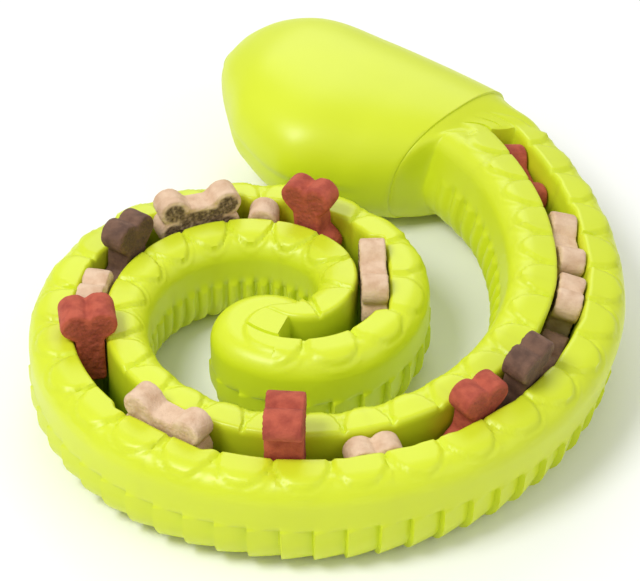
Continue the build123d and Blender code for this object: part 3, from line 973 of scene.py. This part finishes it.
    def _neck_ring(self, t: float) -> tuple[np.ndarray, np.ndarray]:
        """One ring of the neck between the body and the seam.

        Args:
            t: Share of the way to the seam.
        Returns:
            The places of the ring and its painted shade mask, which is zero.
        """
        path = self.path
        s = path.groove_length + self.neck_blend_start
        belly, forward, side, rise = path.section(s)
        first = belly + rise * path.body_height / 2
        last, axis, seam_side, _ = self.seam_frame()
        run = np.linalg.norm(last - first)
        h = (2 * t ** 3 - 3 * t ** 2 + 1, t ** 3 - 2 * t ** 2 + t,
             -2 * t ** 3 + 3 * t ** 2, t ** 3 - t ** 2)
        middle = first * h[0] + forward * run * h[1] + last * h[2] + axis * run * h[3]
        way = unit(forward * (1 - t) + axis * t)
        across = side * (1 - t) + seam_side * t
        across = unit(across - way * np.dot(across, way))
        lift = np.cross(across, way)
        ease = t * t * (3 - 2 * t) * 0.6 + t * 0.4
        hw = path.neck_half_width + (self.seam_width / 2 - path.neck_half_width) * ease
        flare = float(smooth(self.flare_start, self.flare_end, s)) * self.flare_width
        inner = path.neck_half_width + flare
        inner += (self.seam_width / 2 - inner) * float(smooth(0.0, 1.0, t))
        height = path.body_height + (self.seam_height - path.body_height) * ease
        top = path.top_edge_radius + (self.seam_corner - path.top_edge_radius) * ease
        low = self.skin_belly_edge + (self.seam_corner - self.skin_belly_edge) * ease
        xs, ys = [], []
        power = 2.0 + 1.4 * self.seam_corner / self.seam_height
        merge = float(smooth(0.15, 1.0, t))
        for sign, wide in ((1, hw), (-1, inner)):
            half = self.half_profile(wide, height, top, low, self.groove_half, 0.0)
            turn = np.arctan2(half["y"] / height - 0.5, half["x"] / wide / 2)
            c, v = np.cos(turn), np.sin(turn)
            half["x"] += (np.abs(c) ** (2 / power) * wide - half["x"]) * merge
            round_y = (np.sign(v) * np.abs(v) ** (2 / power) + 1.0) * height / 2
            half["y"] += (round_y - half["y"]) * merge
            beyond = self.neck_blend_start + t * run
            pad = self._end_pad(np.array(beyond), half["x"]) * (half["ny"] > 0.01)
            pad *= (half["w"] < 50) * float(smooth(0.75, 0.1, t))
            xs.append(sign * half["x"])
            ys.append(half["y"] + half["ny"] * pad)
        x = self._around(0.0, *xs)
        y = self._around(height, *ys)
        points = middle + np.outer(x, across) + np.outer(y - height / 2, lift)
        points[:, 2] = np.maximum(points[:, 2], 0.0)
        return points, np.zeros(len(x))

    def _stations(self) -> list[float]:
        """Distances of the rings, closer at the plate edges and the groove's ends."""
        path = self.path
        low, high = -self.cap_setback, path.groove_length + self.neck_blend_start
        marks = [self.tail_cut, self.neck_cut, *self.cuts()]
        count = int((high - low) / self.ring_step)
        places = list(np.linspace(low, high, count + 1))
        fine = np.linspace(low, 462.0, 9000)
        rows = path.row_length(fine, 0.0)
        turns = np.array([path.pose(float(v))[2] for v in fine[::10]])
        turns = np.interp(fine, fine[::10], turns) - math.radians(path.tail_heading)
        widths = np.array([path.half_width(float(v)) for v in fine])
        share = np.floor((rows + widths * turns) / self.plate_pitch)
        jumps = fine[1:][np.diff(share) > 0]
        for jump in jumps:
            places += [jump - 0.04, jump + 0.16, jump + 0.32]
        for end in (0.0, path.groove_length):
            places += [end - 0.7, end - 0.4, end - 0.15, end + 0.1, end + 0.3, end + 0.6]
        places = sorted(v for v in places if low <= v <= high)
        kept = [places[0]]
        for value in places[1:]:
            if value - kept[-1] > 0.1:
                kept.append(value)
        kept[-1] = high
        for mark in marks:
            nearest = min(range(len(kept)), key=lambda i: abs(kept[i] - mark))
            kept[nearest] = mark
        return kept

    def cuts(self) -> list[float]:
        """Middles of the stretches between neighbouring bends."""
        return [(a + b) / 2 for a, b in zip(self.path.bends, self.path.bends[1:])]

    def build(self, material: bpy.types.Material) -> list[bpy.types.Object]:
        """Builds the skin, cuts it in lengths and ties the tail and neck lengths to their links.

        Args:
            material: The rubber.
        Returns:
            The lengths, tail first.
        """
        stations = self._stations()
        body = {s: self._ring(s) for s in stations}
        edges = [stations[0], self.tail_cut, *self.cuts(), self.neck_cut, stations[-1]]
        made = []
        for index, (low, high) in enumerate(zip(edges, edges[1:])):
            rings = [body[s] for s in stations if low - 1e-6 <= s <= high + 1e-6]
            if index == 0:
                name = "rubber_tail"
                angles = np.linspace(math.pi / 2, 0.0, self.cap_rings)[:-1]
                rings = [self._cap_ring(float(a)) for a in angles] + rings
            elif index == len(edges) - 2:
                name = "rubber_neck"
                rings += [self._neck_ring(t) for t in np.linspace(0.0, 1.0, self.neck_rings)[1:]]
            else:
                name = f"rubber_bend_{index:02d}"
            made.append(self._length(name, rings, index == 0, material))
        self._tie(made)
        return made

    def _length(self, name: str, rings: list[tuple[np.ndarray, np.ndarray]], capped: bool,
                material: bpy.types.Material) -> bpy.types.Object:
        """Makes one length of the skin from its rings."""
        points = np.array([r[0] for r in rings]) * MM
        mask = np.array([r[1] for r in rings])
        tube = ringed_tube(name, len(rings), points.shape[1])
        if capped:
            bpy.ops.object.mode_set(mode="EDIT")
            bpy.ops.mesh.select_mode(type="FACE")
            bpy.ops.mesh.select_all(action="DESELECT")
            sheet = bmesh.from_edit_mesh(tube.data)
            for face in sheet.faces:
                face.select = all(v.co.z < -0.4999 for v in face.verts)
            bmesh.update_edit_mesh(tube.data)
            bpy.ops.mesh.delete(type="ONLY_FACE")
            bpy.ops.object.mode_set(mode="OBJECT")
        spots = lay_rings(tube, points)
        # Stores the painted shade mask that darkens the groove's walls and floor.
        paint(tube, "groove_depth", mask[spots[:, 0], spots[:, 1]])
        close_and_turn(tube, self.weld)
        dress(tube, material)
        LOG.info("%s: %d rings", name, len(rings))
        return tube

    def _tie(self, made: list[bpy.types.Object]) -> None:
        """Ties the tail and neck lengths to their links and bakes the other lengths in place."""
        path = self.path
        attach(made[0], "tail_link")
        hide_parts("tail_section")
        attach(made[-1], "neck_link")
        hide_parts("neck_section")
        marks = [path.tail_core_length + 8.0, *path.bends, path.groove_length]
        for index, mark in enumerate(path.bends):
            x, y, heading, _ = path.pose(mark)
            before = (marks[index] + marks[index + 1]) / 2
            after = (marks[index + 1] + marks[index + 2]) / 2
            opens = path.turn_between(before, after)
            reach = path.half_width(mark) * opens / 2 + 0.9
            piece = made[index + 1]
            path.link(mark - 1)
            path.link(mark + 1)
            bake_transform(piece)
            if index < len(path.bends) - 1:
                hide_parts(f"body_section_{index + 1:02d}")


# ------------------------------------------------------------------ head
@dataclass
class SnakeHead:
    """The broad smooth head. Millimetres."""

    skin: BodySkin
    stations: tuple[tuple[float, ...], ...] = (
        (0.0, 0.0, 0.0, 0.0, 10.0, 58.4, 41.4, 15.5),
        (16.0, 7.0, 2.0, 7.0, 10.0, 67.0, 43.0, 17.0),
        (36.0, 15.0, 5.0, 12.0, 8.0, 74.0, 43.0, 18.0),
        (57.0, 16.0, 8.0, 12.0, 5.0, 65.0, 38.0, 16.0),
        (69.0, 16.5, 9.5, 14.0, 2.0, 47.0, 29.0, 13.0),
        (77.0, 18.0, 10.0, 14.0, 0.0, 27.0, 18.0, 8.0),
        (80.5, 18.5, 10.0, 14.0, 0.0, 12.0, 8.0, 3.5),
    )
    columns: int = 192
    rings: int = 90
    jaw_inset: float = 1.5
    jaw_height: float = 1.0
    jaw_soften: float = 3.0
    lip_step: float = 0.8

    def _along(self, share: float) -> list[float]:
        """Sizes of the head at a share of its length, by a smooth curve."""
        steps = np.array([row[0] for row in self.stations])
        place = share * steps[-1]
        k = int(min(len(steps) - 2, max(0, np.searchsorted(steps, place) - 1)))
        rows = np.array(self.stations)
        t = (place - steps[k]) / (steps[k + 1] - steps[k])
        before = rows[max(0, k - 1)]
        after = rows[min(len(rows) - 1, k + 2)]
        a, b = rows[k], rows[k + 1]
        gap = steps[k + 1] - steps[k]
        m0 = (b - before) / max(1e-6, b[0] - before[0]) * gap if k else (b - a)
        m1 = (after - a) / max(1e-6, after[0] - a[0]) * gap if k + 2 < len(rows) else (b - a)
        h = (2 * t ** 3 - 3 * t ** 2 + 1, t ** 3 - 2 * t ** 2 + t,
             -2 * t ** 3 + 3 * t ** 2, t ** 3 - t ** 2)
        row = a * h[0] + m0 * h[1] + b * h[2] + m1 * h[3]
        return [float(v) for v in row]

    def _ring(self, share: float) -> np.ndarray:
        """One ring of the head."""
        step, inward, rise, yaw, pitch, width, height, corner = self._along(share)
        middle, _, side, lift = self.skin.seam_frame(step, inward, rise, yaw, pitch)
        angle = np.arange(self.columns) / self.columns * 2 * math.pi
        power = 2.0 + 1.4 * min(1.0, corner / height)
        c, s = np.cos(angle), np.sin(angle)
        x = np.sign(c) * np.abs(c) ** (2 / power) * width / 2
        y = np.sign(s) * np.abs(s) ** (2 / power) * height / 2
        fade = float(smooth(0.04, 0.3, share) * smooth(0.86, 0.6, share))
        below = smooth(self.jaw_height, self.jaw_height - self.jaw_soften, y)
        x -= np.sign(x) * np.abs(c) * self.jaw_inset * fade * below
        return middle + np.outer(x, side) + np.outer(y, lift)

    def build(self, material: bpy.types.Material) -> bpy.types.Object:
        """Builds the head and closes its snout.

        Args:
            material: The rubber.
        Returns:
            The head.
        """
        shares = np.sin(np.linspace(0.0, math.pi / 2, self.rings))
        rings = [self._ring(float(v)) for v in shares]
        tip = rings[-1].mean(axis=0)
        axis = self.skin.seam_frame(*self.stations[-1][:5])[1]
        start = self.skin.seam_frame(*self.stations[0][:5])
        first = rings[0]
        centre = first.mean(axis=0)
        rear = centre + (first - centre) * 0.972 - start[1] * 0.2
        rings = [rear, centre + (first - centre) * 0.992 - start[1] * 0.1] + rings
        for shrink in (0.92, 0.75, 0.5, 0.25, 0.0):
            bulge = 1.6 * math.sqrt(max(0.0, 1 - shrink ** 2))
            rings.append(tip + (rings[self.rings + 1] - tip) * shrink + axis * bulge)
        points = np.array(rings) * MM
        head = ringed_tube("rubber_head", len(rings), self.columns)
        lay_rings(head, points)
        # The head gets no painted shade: its groove attribute is all zero.
        paint(head, "groove_depth", np.zeros(len(head.data.vertices)))
        close_and_turn(head, self.skin.weld)
        dress(head, material)
        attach(head, "neck_link")
        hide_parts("head")
        LOG.info("head: %d rings", len(rings))
        return head


# ------------------------------------------------------------------ treats
@dataclass
class TreatRow:
    """The sixteen biscuits in the groove."""

    path: CoilPath
    rows: tuple[tuple[str, float, Stance, float, float, float, Dough, float], ...] = (
        ("biscuit_01_red", 457.8, Stance.ALONG, 12.0, -1.0, 27.0, Dough.RED, 0.5),
        ("biscuit_02_tan", 414.6, Stance.ALONG, 0.0, 2.0, 27.0, Dough.TAN, 0.15),
        ("biscuit_03_tan", 389.6, Stance.UPRIGHT, 0.0, 1.5, 27.0, Dough.TAN, 0.9),
        ("biscuit_04_brown", 368.4, Stance.ALONG, 0.0, -5.0, 20.0, Dough.BROWN, 0.5),
        ("biscuit_05_brown", 348.4, Stance.UPRIGHT, 0.0, 12.0, 27.0, Dough.BROWN, 0.5),
        ("biscuit_06_red", 328.6, Stance.UPRIGHT, -6.0, 10.0, 27.0, Dough.RED, 0.5),
        ("biscuit_07_tan", 296.0, Stance.UPRIGHT, 0.0, 0.5, 27.0, Dough.TAN, 0.1),
        ("biscuit_08_red", 270.5, Stance.ACROSS, 0.0, 17.0, 25.0, Dough.RED, 0.5),
        ("biscuit_09_tan", 234.5, Stance.ALONG, -3.0, 8.0, 27.0, Dough.TAN, 0.1),
        ("biscuit_10_red", 186.0, Stance.ACROSS, 0.0, 11.0, 25.0, Dough.RED, 0.5),
        ("biscuit_11_tan", 165.5, Stance.UPRIGHT, 0.0, 4.0, 27.0, Dough.TAN, 0.1),
        ("biscuit_12_brown", 143.5, Stance.UPRIGHT, 6.0, 12.0, 27.0, Dough.BROWN, 0.5),
        ("biscuit_13_tan", 116.0, Stance.ALONG, 4.0, 11.0, 27.0, Dough.TAN, 0.95),
        ("biscuit_14_tan", 94.6, Stance.NUB, 0.0, 3.0, 17.0, Dough.TAN, 0.1),
        ("biscuit_15_red", 78.5, Stance.UPRIGHT, -4.0, 15.0, 27.0, Dough.RED, 0.5),
        ("biscuit_16_tan", 43.5, Stance.ALONG, 0.0, 6.0, 27.0, Dough.TAN, 0.95),
    )

    def biscuits(self) -> list[Biscuit]:
        """The biscuits with their places."""
        return [Biscuit(*row) for row in self.rows]

    def build(self, workshop: Workshop) -> None:
        """Bakes every biscuit and ties it to its body.

        Args:
            workshop: Maker of the materials.
        """
        doughs = {dough: workshop.biscuit(dough.name.lower() + "_biscuit", dough.value)
                  for dough in Dough}
        for biscuit in self.biscuits():
            bone = biscuit.build(self.path)
            dress(bone, doughs[biscuit.dough])
            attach(bone, "treat_" + biscuit.number)
            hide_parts(biscuit.name)
            LOG.info("%s: %d corners", bone.name, len(bone.data.vertices))


# ------------------------------------------------------------------ stage
@dataclass
class Stage:
    """Pale floor, soft lights and the camera. Metres."""

    floor_size: float = 6.0
    target: tuple[float, float, float] = (-0.00345, -0.0263, 0.032)
    distance: float = 0.8
    elevation: float = 38.68
    azimuth: float = 4.54
    lens: float = 147.9

    def build(self) -> None:
        """Builds the floor, the lights and the camera."""
        self._floor()
        self._lights()
        self._camera()

    def _floor(self) -> None:
        """Adds the floor and its plain pale material."""
        clean_selection()
        bpy.ops.mesh.primitive_plane_add(size=self.floor_size, location=(0, 0, 0))
        floor = bpy.context.object
        floor.name = "floor"
        material = bpy.data.materials.new("pale_floor")
        material.use_nodes = True
        shader = material.node_tree.nodes["Principled BSDF"]
        shader.inputs["Base Color"].default_value = (0.95, 0.95, 0.95, 1.0)
        shader.inputs["Roughness"].default_value = 0.9
        floor.data.materials.append(material)

    def _lights(self) -> None:
        """Adds the sky and three soft lights."""
        world = bpy.data.worlds.new("soft_sky")
        world.use_nodes = True
        sky = world.node_tree.nodes["Background"]
        sky.inputs["Color"].default_value = (1.0, 1.0, 1.0, 1.0)
        sky.inputs["Strength"].default_value = 0.52
        bpy.context.scene.world = world
        for name, place, size, power in (("key", (-0.5, -0.3, 0.9), 0.45, 6.2),
                                         ("fill", (0.8, -0.5, 0.7), 0.8, 1.5),
                                         ("back", (0.1, 0.9, 0.7), 0.8, 3.0)):
            light = bpy.data.lights.new(name, "AREA")
            light.shape = "DISK"
            light.size = size
            light.energy = power
            lamp = bpy.data.objects.new(name, light)
            bpy.context.scene.collection.objects.link(lamp)
            lamp.location = place
            aim = Vector(self.target) - Vector(place)
            lamp.rotation_euler = aim.to_track_quat("-Z", "Y").to_euler()

    def _camera(self) -> None:
        """Adds the camera and makes it the scene's."""
        a, b = math.radians(self.elevation), math.radians(self.azimuth)
        back = Vector((-math.sin(b) * math.cos(a), -math.cos(b) * math.cos(a), math.sin(a)))
        place = Vector(self.target) + back * self.distance
        eye = bpy.data.cameras.new("view")
        eye.lens = self.lens
        eye.sensor_width = 36.0
        camera = bpy.data.objects.new("view", eye)
        bpy.context.scene.collection.objects.link(camera)
        camera.location = place
        aim = Vector(self.target) - place
        camera.rotation_euler = aim.to_track_quat("-Z", "Y").to_euler()
        bpy.context.scene.camera = camera
        bpy.context.scene.view_settings.view_transform = "Standard"


def main() -> None:
    """Builds the snake, its biscuits and the stage."""
    workshop = Workshop()
    path = CoilPath()
    treats = TreatRow(path)
    rubber = workshop.rubber("green_rubber", RubberFinish())
    skin = BodySkin(path, treats.biscuits())
    skin.build(rubber)
    SnakeHead(skin).build(rubber)
    treats.build(workshop)
    Stage().build()
    LOG.info("size written")


if __name__ == "__main__":
    main()
